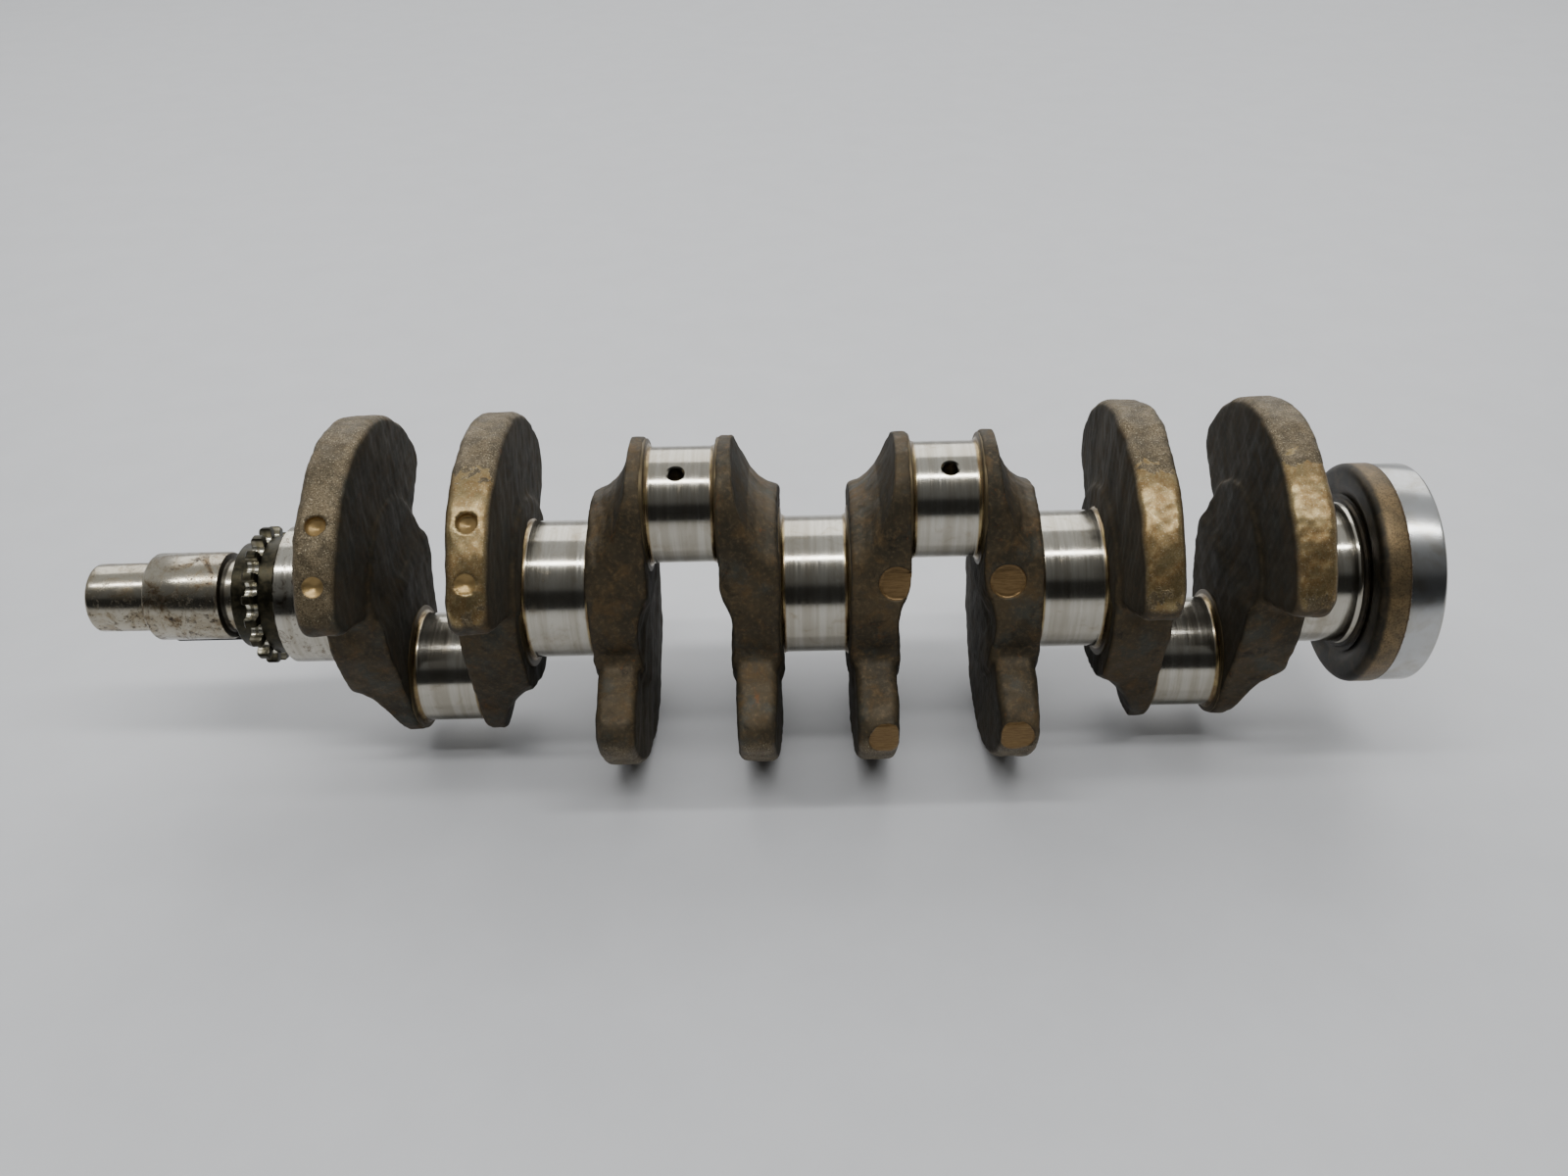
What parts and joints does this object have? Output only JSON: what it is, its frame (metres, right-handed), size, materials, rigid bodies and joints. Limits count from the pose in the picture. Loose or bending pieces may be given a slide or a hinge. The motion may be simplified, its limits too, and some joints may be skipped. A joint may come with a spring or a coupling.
{
  "type": "crankshaft",
  "caption": "Forged in-line crankshaft with offset crankpins, counterweighted webs, keyed snout with chain sprocket and a flywheel flange with a pilot bearing.",
  "frame": {"origin": "on the shaft's axis at the middle of the centre main journal", "axes": "+X along the shaft towards the flywheel flange, +Z towards the two inner crankpins, which stand up, +Y completes the right-handed frame"},
  "size_m": [0.4767, 0.1164, 0.13],
  "materials": {
    "ground_journal": "ground and polished, oil film, faint running marks",
    "forged_web": "as forged, oil-browned, with ground counterweight rims",
    "snout_steel": "turned and ground, brown oil stains",
    "turned_flange": "rough forged band and polished seal band",
    "blackened_sprocket": "hardened and oil-blackened, bright where the chain runs",
    "black_key": "black oxide",
    "bearing_steel": "ground bearing steel",
    "cage_steel": "pressed sheet steel",
    "seal_rubber": "moulded rubber on a steel shield"
  },
  "bodies": {
    "crank": {"snout_nose": "snout_steel", "pulley_seat": "snout_steel", "sprocket_seat": "snout_steel", "main_journal_1": "ground_journal", "main_journal_2": "ground_journal", "main_journal_3": "ground_journal", "main_journal_4": "ground_journal", "main_journal_5": "ground_journal", "crankpin_1": "ground_journal", "crankpin_2": "ground_journal", "crankpin_3": "ground_journal", "crankpin_4": "ground_journal", "web_1": "forged_web", "web_2": "forged_web", "web_3": "forged_web", "web_4": "forged_web", "web_5": "forged_web", "web_6": "forged_web", "web_7": "forged_web", "web_8": "forged_web", "rear_flange": "turned_flange", "timing_sprocket": "blackened_sprocket", "snout_key": "black_key", "pilot_outer_ring": "bearing_steel", "pilot_seal": "seal_rubber"},
    "pilot_inner": {"pilot_inner_ring": "bearing_steel"},
    "pilot_ball_set": {"pilot_balls": "bearing_steel", "pilot_cage": "cage_steel"}
  },
  "joints": [
    {"name": "pilot_spin", "type": "hinge", "parent": "crank", "child": "pilot_inner", "pos_m": [0.2073, 0, 0], "axis": [1, 0, 0], "continuous": true},
    {"name": "pilot_cage_spin", "type": "hinge", "parent": "crank", "child": "pilot_ball_set", "pos_m": [0.2073, 0, 0], "axis": [1, 0, 0], "continuous": true}
  ],
  "couplings": [
    {"joint": "pilot_cage_spin", "follows": "pilot_spin", "ratio": 0.368}
  ]
}
